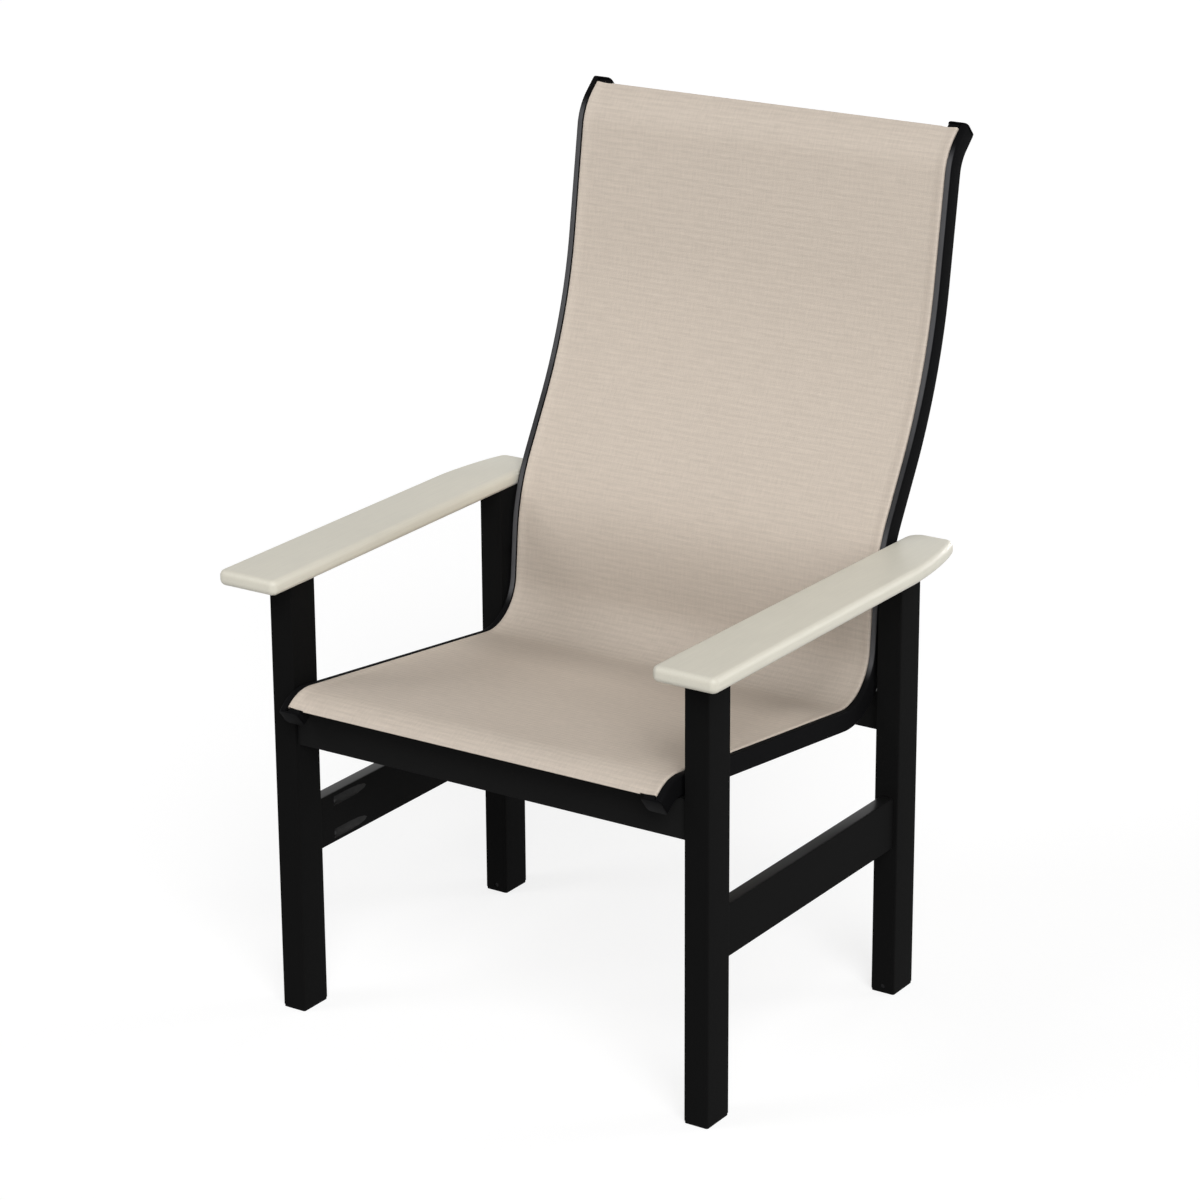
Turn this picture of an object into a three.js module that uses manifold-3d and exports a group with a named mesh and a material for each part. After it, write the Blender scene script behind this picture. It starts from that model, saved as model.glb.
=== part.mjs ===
// A high-backed patio armchair: a bolted lumber frame that carries a fabric sling between two bent
// aluminium rails. Millimetres. X runs across the chair, Y from its front to its back, Z up.
// Left and right are as seen by someone who stands in front of the chair and looks at it.
import * as THREE from 'three';
import { mergeVertices } from 'three/addons/utils/BufferGeometryUtils.js';
import Module from 'manifold-3d';

const wasm = await Module();
wasm.setup();

// Fits that the whole chair shares
const clearance = 0.3;
const overrun = 2;
const chordTolerance = 0.3;
const roundSegments = 12;
const cornerSegments = 2;

// Frame
const frameWidth = 660;
const legWidth = 35;
const legDepth = 50;
const legTop = 594;
const boardCorner = 2.5;
const boardThickness = 20;

// Side stretchers
const stretcherHeight = 71;
const stretcherBottom = 209;
const stretcherInset = 6.4;

// Cross rails
const crossRailHeight = 54;
const crossRailInset = 5;
const rearRailBelowBolt = 89.5;

// Pockets that hide the frame's screws, measured where they open and at their deep end
const pocketLength = 70;
const pocketWidth = 13;
const pocketDepth = 12.5;
const pocketMargin = 6;
const pocketEndBlock = 37;

// Frame screws
const screwRadius = 2.5;
const screwHeadRadius = 4.8;
const screwHeadHeight = 4;
const screwPoint = 5;
const screwSocketRadius = 2;
const screwSocketDepth = 2;
const stretcherScrewGrip = 30;
const crossScrewGrip = 22;
const armScrewGrip = 13;

// Feet
const footPadHeight = 3;
const footPadInset = 0.6;
const footStemRadius = 5;
const footStemLength = 24;
const footPinHeight = 9;
const footPinRadius = 2.5;
const footPinHeadRadius = 3.2;
const footPinHeadHeight = 1.5;
const footPinRecess = 2;

// Arms
const armThickness = 21;
const armRound = 8;
const armRoundSegments = 3;
const armFrontOverhang = 52;
const armRearOverhang = 43;
const armFrontInnerOverhang = 15;
const armRearInnerOverhang = 3.5;
const armFrontOuterOverhang = 41.5;
const armMiddleOuterOverhang = 45;
const armRearOuterOverhang = 24;
const armTaperLength = 74;
const armTaperBendShare = 0.8;
const armFrontCorner = 10;
const armRearOuterCorner = 12;
const armRearInnerCorner = 22;

// The sling's face seen from the side, from its front hem over the seat and up to its top hem
const hemFrontY = -39;
const hemFrontZ = 440;
const hemFrontAngle = 38.3;
const frontDrop = 9.4;
const frontRollRadius = 57;
const frontRollAngle = 44.8;
const seatLength = 392;
const seatBackRadius = 67;
const seatBackAngle = 91.6;
const lowerBackLength = 60;
const lumbarRadius = 267;
const lumbarAngle = 24.7;
const middleBackLength = 71;
const shoulderRadius = 644;
const shoulderAngle = 21;
const upperBackLength = 143;
const topRollRadius = 73.5;
const topRollAngle = 38.9;
const topDrop = 17;

// Sling and the welting rods in its side hems
const fabricThickness = 1.2;
const weltRadius = 2.4;

// Sling rails: a bent aluminium section with a keyhole groove for the sling's edge
const railWidth = 28;
const railDepth = 25;
const railWall = 2;
const railFrontCorner = 4;
const railBackCorner = 2.5;
const grooveInset = 10;
const grooveWidth = 3;
const grooveLip = 2.5;
const grooveRadius = 4;
const railFrontBare = 2.5;
const railTopBare = 5;
const railToLeg = 7;

// End caps of the sling rails
const capThickness = 4;
const capLipFront = 3;
const capLipBack = 1.5;
const capLipSide = 1.5;
const capCorner = 4;
const capEdge = 1;
const capPlugLength = 8;

// Bolts and spacers between the sling rails and the legs
const boltRadius = 3;
const boltHeadRadius = 5.5;
const boltHeadHeight = 3.5;
const boltGrip = 20;
const boltSocketRadius = 2;
const boltSocketDepth = 2;
const boltPoint = 1;
const spacerRadius = 7;
const rearBoltShare = 0.5;
const rearBoltBehindLeg = 6.7;

// Spreader bars between the sling rails
const spreaderHeight = 30;
const spreaderThickness = 15;
const spreaderWall = 2;
const spreaderBow = 22;
const spreaderStraight = 14;
const spreaderSteps = 10;
const spreaderEndSegments = 4;
const spreaderPlugLength = 12;
const spreaderFlange = 3;
const spreaderFlangeLip = 1.5;
const spreaderPegRadius = 4;
const spreaderPegLength = 7;
const seatSpreaderShare = 0.5;
const lumbarSpreaderShare = 0.5;
const topSpreaderShare = 0.82;

// Finishes
const lumberBlack = finish(0x1a1a1b, 0.62, 0);
const lumberSand = finish(0xd9d4c6, 0.6, 0);
const railBlack = finish(0x202224, 0.38, 0.6);
const plasticBlack = finish(0x151516, 0.5, 0);
const weltBlack = finish(0x1d1d1d, 0.7, 0);
const steel = finish(0x8f9397, 0.35, 0.9);
const slingBeige = finish(0xcfc0b0, 0.85, 0);

function finish(color, roughness, metalness) {
  return new THREE.MeshStandardMaterial({ color, roughness, metalness });
}

// Joining and cutting of closed solids

function toManifold(geometry) {
  const bare = geometry.clone();
  bare.deleteAttribute('normal');
  bare.deleteAttribute('uv');
  const merged = mergeVertices(bare);
  const corners = merged.index.array;
  const kept = [];
  for (let i = 0; i < corners.length; i += 3) {
    const [a, b, c] = [corners[i], corners[i + 1], corners[i + 2]];
    if (a !== b && b !== c && c !== a) kept.push(a, b, c);
  }
  const vertProperties = new Float32Array(merged.attributes.position.array);
  return new wasm.Manifold(new wasm.Mesh({ numProp: 3, vertProperties, triVerts: new Uint32Array(kept) }));
}

function toGeometry(manifold) {
  const mesh = manifold.getMesh();
  const geometry = new THREE.BufferGeometry();
  geometry.setAttribute('position', new THREE.BufferAttribute(new Float32Array(mesh.vertProperties), 3));
  geometry.setIndex(new THREE.BufferAttribute(new Uint32Array(mesh.triVerts), 1));
  geometry.computeVertexNormals();
  return geometry;
}

function cut(body, tools) {
  return toGeometry(tools.reduce((rest, tool) => rest.subtract(toManifold(tool)), toManifold(body)));
}

function join(bodies) {
  return toGeometry(bodies.map(toManifold).reduce((whole, body) => whole.add(body)));
}

// Outlines

function arcPoints(centerX, centerY, radius, from, to, segments) {
  const points = [];
  for (let i = 0; i <= segments; i++) {
    const angle = from + (to - from) * i / segments;
    points.push(new THREE.Vector2(centerX + radius * Math.cos(angle), centerY + radius * Math.sin(angle)));
  }
  return points;
}

function arcSteps(radius, turn) {
  const step = 2 * Math.acos(1 - Math.min(1, chordTolerance / radius));
  return Math.max(cornerSegments, Math.ceil(Math.abs(turn) / step));
}

// An outline from corners that each name the radius of their rounding or how far along their
// sides it reaches
function roundedOutline(corners) {
  const points = [];
  corners.forEach((corner, i) => {
    const before = corners[(i + corners.length - 1) % corners.length].at.clone().sub(corner.at).normalize();
    const after = corners[(i + 1) % corners.length].at.clone().sub(corner.at).normalize();
    const half = before.angleTo(after) / 2;
    const reach = corner.reach ?? corner.round / Math.tan(half);
    const round = reach * Math.tan(half);
    const center = corner.at.clone();
    center.addScaledVector(before.clone().add(after).normalize(), reach / Math.cos(half));
    const from = corner.at.clone().addScaledVector(before, reach).sub(center).angle();
    const end = corner.at.clone().addScaledVector(after, reach).sub(center).angle();
    const turn = THREE.MathUtils.euclideanModulo(end - from + Math.PI, 2 * Math.PI) - Math.PI;
    points.push(...arcPoints(center.x, center.y, round, from, from + turn, arcSteps(round, turn)));
  });
  return points;
}

function rectangle(width, height, round, center = new THREE.Vector2()) {
  const signs = [[-1, -1], [1, -1], [1, 1], [-1, 1]];
  return roundedOutline(signs.map(([x, y]) => {
    return { at: new THREE.Vector2(x * width / 2, y * height / 2).add(center), round };
  }));
}

function stadium(width, height, segments) {
  const radius = width / 2;
  const reach = height / 2 - radius;
  const top = arcPoints(0, reach, radius, 0, Math.PI, segments);
  const bottom = arcPoints(0, -reach, radius, Math.PI, 2 * Math.PI, segments);
  return top.concat(bottom);
}

// Solids made from outlines

function prism(outline, length) {
  return new THREE.ExtrudeGeometry(new THREE.Shape(outline), { depth: length, bevelEnabled: false });
}

function rod(radius, length, segments = roundSegments) {
  return new THREE.CylinderGeometry(radius, radius, length, segments).rotateX(Math.PI / 2);
}

// A drill that starts before a face and ends at a depth, along +Z from the face
function drill(radius, depth, lead = overrun) {
  return rod(radius, depth + lead).translate(0, 0, (depth - lead) / 2);
}

function revolve(profile) {
  const points = profile.map(([radius, height]) => new THREE.Vector2(radius, height));
  return new THREE.LatheGeometry(points, roundSegments).rotateX(Math.PI / 2);
}

// A headed fastener along +Z, with the underside of its head at zero and a round socket in the head
function headedPin({ radius, length, point, headRadius, headHeight, socketRadius, socketDepth }) {
  return revolve([
    [0, -headHeight + socketDepth],
    [socketRadius, -headHeight + socketDepth],
    [socketRadius, -headHeight],
    [headRadius, -headHeight],
    [headRadius, 0],
    [radius, 0],
    [radius, length - point],
    [0, length],
  ]);
}

function frameScrew(length) {
  return headedPin({
    radius: screwRadius,
    length,
    point: screwPoint,
    headRadius: screwHeadRadius,
    headHeight: screwHeadHeight,
    socketRadius: screwSocketRadius,
    socketDepth: screwSocketDepth,
  });
}

// Places a tool or a piece so that its +Z points along a direction
function aimed(geometry, direction, at) {
  const turn = new THREE.Quaternion().setFromUnitVectors(new THREE.Vector3(0, 0, 1), direction);
  return geometry.applyQuaternion(turn).translate(at.x, at.y, at.z);
}

const acrossX = new THREE.Vector3(1, 0, 0);
const alongY = new THREE.Vector3(0, 1, 0);
const upZ = new THREE.Vector3(0, 0, 1);

function vec(x, y, z) {
  return new THREE.Vector3(x, y, z);
}

function mesh(name, geometry, material, at = vec(0, 0, 0)) {
  const piece = new THREE.Mesh(geometry, material);
  piece.name = name;
  piece.position.copy(at);
  return piece;
}

// A group whose own Y and Z axes lie along two directions of its parent
function turnedGroup(yAxis, zAxis, at) {
  const group = new THREE.Group();
  group.setRotationFromMatrix(new THREE.Matrix4().makeBasis(yAxis.clone().cross(zAxis), yAxis, zAxis));
  group.position.copy(at);
  return group;
}

// Boards stand along their own Z, with their pockets in the +Y face. A pocket is the round-bottomed
// slot of a slanted cutter: deepest where the screw's head seats, and running out of the face.

const pocketRadius = pocketWidth / 2;
const pocketSlope = Math.atan(pocketDepth / pocketLength);
const pocketAxisDepth = pocketDepth - pocketRadius / Math.cos(pocketSlope);

// From the seat of the screw's head to the next piece, along the screw and into the board
const pocketScrewRun = (pocketEndBlock + clearance) / Math.cos(pocketSlope);
const pocketExitDepth = pocketAxisDepth + pocketScrewRun * Math.sin(pocketSlope);

function board(width, thickness, length) {
  return prism(rectangle(width, thickness, boardCorner), length);
}

// A pocket's screw runs along a board and slants away from the face that the pocket opens in
function slanted(along, away) {
  return along.clone().multiplyScalar(Math.cos(pocketSlope)).addScaledVector(away, Math.sin(pocketSlope));
}

// A pocket's own frame, with its origin where the head seats, its Z along the screw and its Y out
// of the face: end is -1 at the board's foot and 1 at its top
function pocketGroup(x, thickness, length, end) {
  const zAxis = slanted(vec(0, 0, end), vec(0, -1, 0));
  const yAxis = zAxis.clone().cross(vec(end, 0, 0));
  const endZ = end > 0 ? length : 0;
  return turnedGroup(yAxis, zAxis, vec(x, thickness / 2 - pocketAxisDepth, endZ - end * pocketEndBlock));
}

function pocketTools(x, thickness, length, end) {
  const slotLength = pocketLength / Math.cos(pocketSlope) + overrun;
  const mouth = pocketDepth + overrun;
  const slot = prism([
    new THREE.Vector2(pocketRadius, mouth),
    new THREE.Vector2(-pocketRadius, mouth),
    ...arcPoints(0, 0, pocketRadius, Math.PI, 2 * Math.PI, roundSegments / 2),
  ], slotLength);
  slot.translate(0, 0, -slotLength);
  const hole = rod(screwRadius + clearance, pocketScrewRun + 2 * overrun);
  hole.translate(0, 0, pocketScrewRun / 2);
  const place = pocketGroup(x, thickness, length, end);
  place.updateMatrix();
  return [slot, hole].map((tool) => tool.applyMatrix4(place.matrix));
}

function pocketScrew(name, x, thickness, length, end, grip) {
  const place = pocketGroup(x, thickness, length, end);
  place.add(mesh(name, frameScrew(pocketScrewRun + grip), steel, vec(0, 0, -clearance)));
  return place;
}

// Where things lie, worked out from the sizes above

const legX = (frameWidth - legWidth) / 2;
const legInnerX = legX - legWidth / 2;
const legOuterX = legX + legWidth / 2;
const legBottom = footPadHeight + clearance;
const legLength = legTop - legBottom;
const frontLegY = legDepth / 2;
const railOuterX = legInnerX - railToLeg;
const railInnerX = railOuterX - railWidth;
const grooveX = railOuterX - grooveInset;
const railFaceDepth = fabricThickness + clearance;

// The sling's side line as a chain of straights and arcs, each with its pose at the start.
// A pose looks along the line; its normal points out of the back of the sling.

function pose(y, z, heading) {
  return { y, z, heading };
}

function poseNormal({ heading }) {
  return vec(0, Math.sin(heading), -Math.cos(heading));
}

function poseTangent({ heading }) {
  return vec(0, Math.cos(heading), Math.sin(heading));
}

function pointAt(at, depth, x = 0) {
  return vec(x, at.y, at.z).addScaledVector(poseNormal(at), depth);
}

function advance(at, distance) {
  return pose(at.y + distance * Math.cos(at.heading), at.z + distance * Math.sin(at.heading), at.heading);
}

function arcPose(at, radius, turn) {
  const side = Math.sign(turn);
  const heading = at.heading + turn;
  const y = at.y + side * radius * (Math.sin(heading) - Math.sin(at.heading));
  const z = at.z - side * radius * (Math.cos(heading) - Math.cos(at.heading));
  return pose(y, z, heading);
}

const slingStretches = [
  { name: 'frontDrop', length: frontDrop },
  { name: 'frontRoll', radius: frontRollRadius, turn: -frontRollAngle },
  { name: 'seat', length: seatLength },
  { name: 'seatBack', radius: seatBackRadius, turn: seatBackAngle },
  { name: 'lowerBack', length: lowerBackLength },
  { name: 'lumbar', radius: lumbarRadius, turn: -lumbarAngle },
  { name: 'middleBack', length: middleBackLength },
  { name: 'shoulder', radius: shoulderRadius, turn: shoulderAngle },
  { name: 'upperBack', length: upperBackLength },
  { name: 'topRoll', radius: topRollRadius, turn: -topRollAngle },
  { name: 'topDrop', length: topDrop },
];

const slingStart = pose(hemFrontY, hemFrontZ, THREE.MathUtils.degToRad(hemFrontAngle));
const slingPoses = [slingStart];
const slingMarks = {};
for (const stretch of slingStretches) {
  let at = slingPoses[slingPoses.length - 1];
  slingMarks[stretch.name] = at;
  if (stretch.length) {
    slingPoses.push(advance(at, stretch.length));
    continue;
  }
  const turn = THREE.MathUtils.degToRad(stretch.turn);
  const steps = arcSteps(stretch.radius, turn);
  for (let i = 0; i < steps; i++) {
    at = arcPose(at, stretch.radius, turn / steps);
    slingPoses.push(at);
  }
}
const slingEnd = slingPoses[slingPoses.length - 1];

// A path through poses, with one step of the extrusion for each pose
class PosePath extends THREE.Curve {
  constructor(points, tangents) {
    super();
    this.points = points;
    this.tangents = tangents;
  }

  getPoint(t, target = vec(0, 0, 0)) {
    return target.copy(this.points[Math.round(t * (this.points.length - 1))]);
  }

  getPointAt(u, target) {
    return this.getPoint(u, target);
  }

  getTangentAt(u, target = vec(0, 0, 0)) {
    return target.copy(this.tangents[Math.round(u * (this.tangents.length - 1))]);
  }
}

function sweep(shape, path) {
  return new THREE.ExtrudeGeometry(shape, { extrudePath: path, steps: path.points.length - 1 });
}

// The sling's line, lengthened past its hems at the front and at the top
function slingPath(frontExtra, topExtra) {
  const poses = [advance(slingStart, -frontExtra), ...slingPoses.slice(1, -1), advance(slingEnd, topExtra)];
  return new PosePath(poses.map((at) => pointAt(at, 0)), poses.map(poseTangent));
}

// A section point from its place across the chair and its depth behind the sling's face
function sectionPoint(x, depth) {
  return new THREE.Vector2(-x, -depth);
}

// Where the rails are bolted on, which places the rear legs, and where the boards lie

const slingFrontBoltPose = advance(
  slingMarks.seat,
  (frontLegY - slingMarks.seat.y) / Math.cos(slingMarks.seat.heading),
);
const slingRearBoltPose = advance(slingMarks.lowerBack, lowerBackLength * rearBoltShare);
const hollowFrontDepth = railFaceDepth + grooveLip + 2 * grooveRadius + railWall;
const hollowBackDepth = railFaceDepth + railDepth - railWall;
const boltDepth = (hollowFrontDepth + hollowBackDepth) / 2;
const frontBoltPoint = pointAt(slingFrontBoltPose, boltDepth);
const rearBoltPoint = pointAt(slingRearBoltPose, boltDepth);

const rearLegY = rearBoltPoint.y - rearBoltBehindLeg;
const frameDepth = rearLegY + legDepth / 2;
const stretcherX = legOuterX - stretcherInset - boardThickness / 2;
const stretcherLength = frameDepth - 2 * legDepth - 2 * clearance;
const stretcherZ = stretcherBottom + stretcherHeight / 2;
const stretcherScrewSpread = stretcherHeight / 2 - pocketMargin - pocketRadius;
const stretcherScrewX = stretcherX - boardThickness / 2 + pocketExitDepth;
const crossRailLength = 2 * (legInnerX - clearance);
const frontRailY = crossRailInset + boardThickness / 2;
const rearRailY = frameDepth - crossRailInset - boardThickness / 2;

// The front rail's top lies just under the sling rails where they pass over its rear edge
const frontRailRearPose = advance(
  slingMarks.seat,
  (frontRailY + boardThickness / 2 - slingMarks.seat.y) / Math.cos(slingMarks.seat.heading),
);
const underRailDrop = (railFaceDepth + railDepth + clearance) / Math.cos(slingMarks.seat.heading);
const frontRailTop = frontRailRearPose.z - underRailDrop;
const frontRailZ = frontRailTop - crossRailHeight / 2;
const rearRailZ = rearBoltPoint.z - rearRailBelowBolt - crossRailHeight / 2;

// Legs

// Leg tools are set in the leg's own frame: its foot at zero, its middle on the Z axis
function legGeometry(side, isFront) {
  const outward = vec(side, 0, 0);
  const endward = vec(0, isFront ? -1 : 1, 0);
  const legY = isFront ? frontLegY : rearLegY;
  const innerFace = -side * legWidth / 2;
  const middleFace = -endward.y * legDepth / 2;
  const tools = pocketTools(0, legDepth, legLength, 1);

  for (const spread of [-stretcherScrewSpread, stretcherScrewSpread]) {
    const at = vec(side * (stretcherScrewX - legX), middleFace, stretcherZ + spread - legBottom);
    const depth = stretcherScrewGrip + clearance;
    tools.push(aimed(drill(screwRadius + clearance, depth), slanted(endward, outward), at));
  }

  const crossY = (isFront ? frontRailY : rearRailY) + endward.y * (pocketExitDepth - boardThickness / 2);
  const crossAt = vec(innerFace, crossY - legY, (isFront ? frontRailZ : rearRailZ) - legBottom);
  const crossDepth = crossScrewGrip + clearance;
  tools.push(aimed(drill(screwRadius + clearance, crossDepth), slanted(outward, endward), crossAt));

  const boltPoint = isFront ? frontBoltPoint : rearBoltPoint;
  const boltAt = vec(innerFace, boltPoint.y - legY, boltPoint.z - legBottom);
  tools.push(aimed(drill(boltRadius + clearance, boltGrip + clearance), outward, boltAt));

  tools.push(drill(footStemRadius + clearance, footStemLength + clearance));
  const pinAt = vec(0, middleFace, footPinHeight - legBottom);
  const seatDepth = footPinRecess + footPinHeadHeight + clearance;
  tools.push(aimed(drill(footPinHeadRadius + clearance, seatDepth), endward, pinAt));
  const pinDepth = seatDepth + footPinLength + clearance;
  tools.push(aimed(drill(footPinRadius + clearance, pinDepth), endward, pinAt));
  return cut(board(legWidth, legDepth, legLength), tools);
}

const footPinLength = legDepth / 2 + footStemRadius - footPinRecess - footPinHeadHeight + footPinRadius;

function footGeometry() {
  const padWidth = legWidth - 2 * footPadInset;
  const padDepth = legDepth - 2 * footPadInset;
  const pad = prism(rectangle(padWidth, padDepth, boardCorner), footPadHeight);
  const stemHeight = footPadHeight + footStemLength;
  const stem = rod(footStemRadius, stemHeight).translate(0, 0, stemHeight / 2);
  const hole = aimed(rod(footPinRadius + clearance, legWidth), alongY, vec(0, 0, footPinHeight));
  return cut(join([pad, stem]), [hole]);
}

function footPinGeometry() {
  return headedPin({
    radius: footPinRadius,
    length: footPinLength,
    point: clearance,
    headRadius: footPinHeadRadius,
    headHeight: footPinHeadHeight,
    socketRadius: footPinRadius / 2,
    socketDepth: footPinHeadHeight / 2,
  });
}

function legAssembly(side, isFront) {
  const place = `${isFront ? 'front' : 'rear'}_${side < 0 ? 'left' : 'right'}`;
  const group = new THREE.Group();
  group.position.set(side * legX, isFront ? frontLegY : rearLegY, 0);

  const leg = new THREE.Group();
  leg.position.z = legBottom;
  leg.add(mesh(`leg_${place}`, legGeometry(side, isFront), lumberBlack));
  leg.add(pocketScrew(`arm_screw_${place}`, 0, legDepth, legLength, 1, armScrewGrip));
  group.add(leg);

  group.add(mesh(`foot_${place}`, footGeometry(), plasticBlack));
  const inset = footPinRecess + footPinHeadHeight;
  const middleward = isFront ? 1 : -1;
  const pinAt = vec(0, middleward * (legDepth / 2 - inset), footPinHeight);
  const pin = mesh(`foot_pin_${place}`, footPinGeometry(), steel, pinAt);
  pin.rotation.x = middleward * Math.PI / 2;
  group.add(pin);
  return group;
}

// Side stretchers

function stretcherAssembly(side) {
  const place = side < 0 ? 'left' : 'right';
  const at = vec(side * stretcherX, legDepth + clearance, stretcherZ);
  const group = turnedGroup(vec(-side, 0, 0), alongY, at);
  const tools = [];
  for (const end of [-1, 1]) {
    for (const level of [-1, 1]) {
      const x = level * stretcherScrewSpread;
      tools.push(...pocketTools(x, boardThickness, stretcherLength, end));
      // The group's own X points down on the right and up on the left
      const upper = level * side < 0;
      const name = `stretcher_screw_${end < 0 ? 'front' : 'rear'}_${place}_${upper ? 'upper' : 'lower'}`;
      group.add(pocketScrew(name, x, boardThickness, stretcherLength, end, stretcherScrewGrip));
    }
  }
  const body = cut(board(stretcherHeight, boardThickness, stretcherLength), tools);
  group.add(mesh(`stretcher_${place}`, body, lumberBlack));
  return group;
}

// Cross rails, with their pockets towards the middle of the chair

function crossRailAssembly(isFront) {
  const place = isFront ? 'front' : 'rear';
  const at = vec(-crossRailLength / 2, isFront ? frontRailY : rearRailY, isFront ? frontRailZ : rearRailZ);
  const group = turnedGroup(vec(0, isFront ? 1 : -1, 0), acrossX, at);
  const tools = [];
  for (const end of [-1, 1]) {
    tools.push(...pocketTools(0, boardThickness, crossRailLength, end));
    const name = `cross_screw_${place}_${end < 0 ? 'left' : 'right'}`;
    group.add(pocketScrew(name, 0, boardThickness, crossRailLength, end, crossScrewGrip));
  }
  const body = cut(board(crossRailHeight, boardThickness, crossRailLength), tools);
  group.add(mesh(`cross_rail_${place}`, body, lumberBlack));
  return group;
}

// Arms

const armUnderside = legTop + clearance;
const armRearY = frameDepth + armRearOverhang;

function armOutline(side) {
  const taperLength = Math.hypot(armTaperLength, armMiddleOuterOverhang - armRearOuterOverhang);
  const bendReach = armTaperBendShare * taperLength;
  const corners = [
    { x: legInnerX - armFrontInnerOverhang, y: -armFrontOverhang, round: armFrontCorner },
    { x: legOuterX + armFrontOuterOverhang, y: -armFrontOverhang, round: armFrontCorner },
    { x: legOuterX + armMiddleOuterOverhang, y: armRearY - armTaperLength, reach: bendReach },
    { x: legOuterX + armRearOuterOverhang, y: armRearY, round: armRearOuterCorner },
    { x: legInnerX - armRearInnerOverhang, y: armRearY, round: armRearInnerCorner },
  ];
  return roundedOutline(corners.map(({ x, y, ...bend }) => {
    return { at: new THREE.Vector2(side * x, y), ...bend };
  }));
}

function armGeometry(side) {
  const body = new THREE.ExtrudeGeometry(new THREE.Shape(armOutline(side)), {
    depth: armThickness - 2 * armRound,
    bevelThickness: armRound,
    bevelSize: armRound,
    bevelOffset: -armRound,
    bevelSegments: armRoundSegments,
  }).translate(0, 0, armRound);
  const screwDirection = slanted(upZ, vec(0, -1, 0));
  const holes = [frontLegY, rearLegY].map((y) => {
    const at = vec(side * legX, y + legDepth / 2 - pocketExitDepth, 0);
    return aimed(drill(screwRadius + clearance, armScrewGrip + clearance), screwDirection, at);
  });
  return cut(body, holes);
}

function arm(side) {
  const name = `arm_${side < 0 ? 'left' : 'right'}`;
  return mesh(name, armGeometry(side), lumberSand, vec(0, 0, armUnderside));
}

// Sling rails

function railContour() {
  const inner = railWidth;
  const front = railFaceDepth;
  const back = railFaceDepth + railDepth;
  const slot = grooveWidth / 2;
  const boreDepth = front + grooveLip + grooveRadius;
  const boreOpening = Math.asin(slot / grooveRadius);
  const corner = (x, y, round, from) => {
    return arcPoints(x, y, round, from, from + Math.PI / 2, cornerSegments);
  };
  return [
    ...corner(railFrontCorner, front + railFrontCorner, railFrontCorner, Math.PI),
    new THREE.Vector2(grooveInset - slot, front),
    ...arcPoints(
      grooveInset, boreDepth, grooveRadius,
      1.5 * Math.PI - boreOpening, boreOpening - Math.PI / 2, roundSegments - cornerSegments,
    ),
    new THREE.Vector2(grooveInset + slot, front),
    ...corner(inner - railBackCorner, front + railBackCorner, railBackCorner, 1.5 * Math.PI),
    ...corner(inner - railBackCorner, back - railBackCorner, railBackCorner, 0),
    ...corner(railBackCorner, back - railBackCorner, railBackCorner, Math.PI / 2),
  ];
}

// The hollow runs behind the groove and forward beside it
function hollowContour() {
  const beside = grooveInset + grooveRadius + railWall;
  const front = railFaceDepth + railWall;
  return [
    new THREE.Vector2(railWall, hollowFrontDepth),
    new THREE.Vector2(railWall, hollowBackDepth),
    new THREE.Vector2(railWidth - railWall, hollowBackDepth),
    new THREE.Vector2(railWidth - railWall, front),
    new THREE.Vector2(beside, front),
    new THREE.Vector2(beside, hollowFrontDepth),
  ];
}

// Contours run inwards from the rail's outer face
function railSection(contour, side) {
  return contour.map(({ x, y }) => sectionPoint(side * (railOuterX - x), y));
}

const spreaderPoses = {
  seat: advance(slingMarks.seat, seatLength * seatSpreaderShare),
  lumbar: advance(slingMarks.middleBack, middleBackLength * lumbarSpreaderShare),
  top: advance(slingMarks.upperBack, upperBackLength * topSpreaderShare),
};

function slingRailGeometry(side) {
  const shape = new THREE.Shape(railSection(railContour(), side));
  shape.holes.push(new THREE.Path(railSection(hollowContour(), side)));
  const body = sweep(shape, slingPath(railFrontBare, railTopBare));
  const tools = [];
  for (const point of [frontBoltPoint, rearBoltPoint]) {
    const at = vec(side * (railOuterX - railWidth / 2), point.y, point.z);
    tools.push(aimed(rod(boltRadius + clearance, railWidth + 2 * overrun), acrossX, at));
  }
  for (const at of Object.values(spreaderPoses)) {
    const pegHole = rod(spreaderPegRadius + clearance, 2 * (railWall + overrun));
    tools.push(aimed(pegHole, acrossX, pointAt(at, boltDepth, side * railInnerX)));
  }
  return cut(body, tools);
}

// End caps: a bevelled plate with a plug that fills the rail's rear hollow

function capGeometry(side) {
  const width = railWidth + 2 * capLipSide;
  const front = railFaceDepth - capLipFront;
  const back = railFaceDepth + railDepth + capLipBack;
  const middleX = side * (railOuterX - railWidth / 2);
  const outline = rectangle(width, back - front, capCorner, sectionPoint(middleX, (front + back) / 2));
  const plate = new THREE.ExtrudeGeometry(new THREE.Shape(outline), {
    depth: capThickness - 2 * capEdge,
    bevelThickness: capEdge,
    bevelSize: capEdge,
    bevelOffset: -capEdge,
    bevelSegments: 1,
  }).translate(0, 0, capEdge);
  const plugWidth = railWidth - 2 * (railWall + clearance);
  const plugDepth = hollowBackDepth - hollowFrontDepth - 2 * clearance;
  const plugOutline = rectangle(plugWidth, plugDepth, clearance, sectionPoint(middleX, boltDepth));
  const plug = prism(plugOutline, capPlugLength + capEdge).translate(0, 0, -capPlugLength);
  return join([plate, plug]);
}

// The cap's own Y looks out of the sling's face and its Z away from the rail's end
function cap(name, side, at, outward) {
  const tangent = poseTangent(at).multiplyScalar(outward);
  const group = turnedGroup(poseNormal(at).negate(), tangent, pointAt(at, 0));
  // With the sling's normal and the outward direction given, the own X points left at the top and
  // right at the front, so the plate is drawn for the side that this turns it to
  group.add(mesh(name, capGeometry(side * outward), plasticBlack));
  return group;
}

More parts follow.
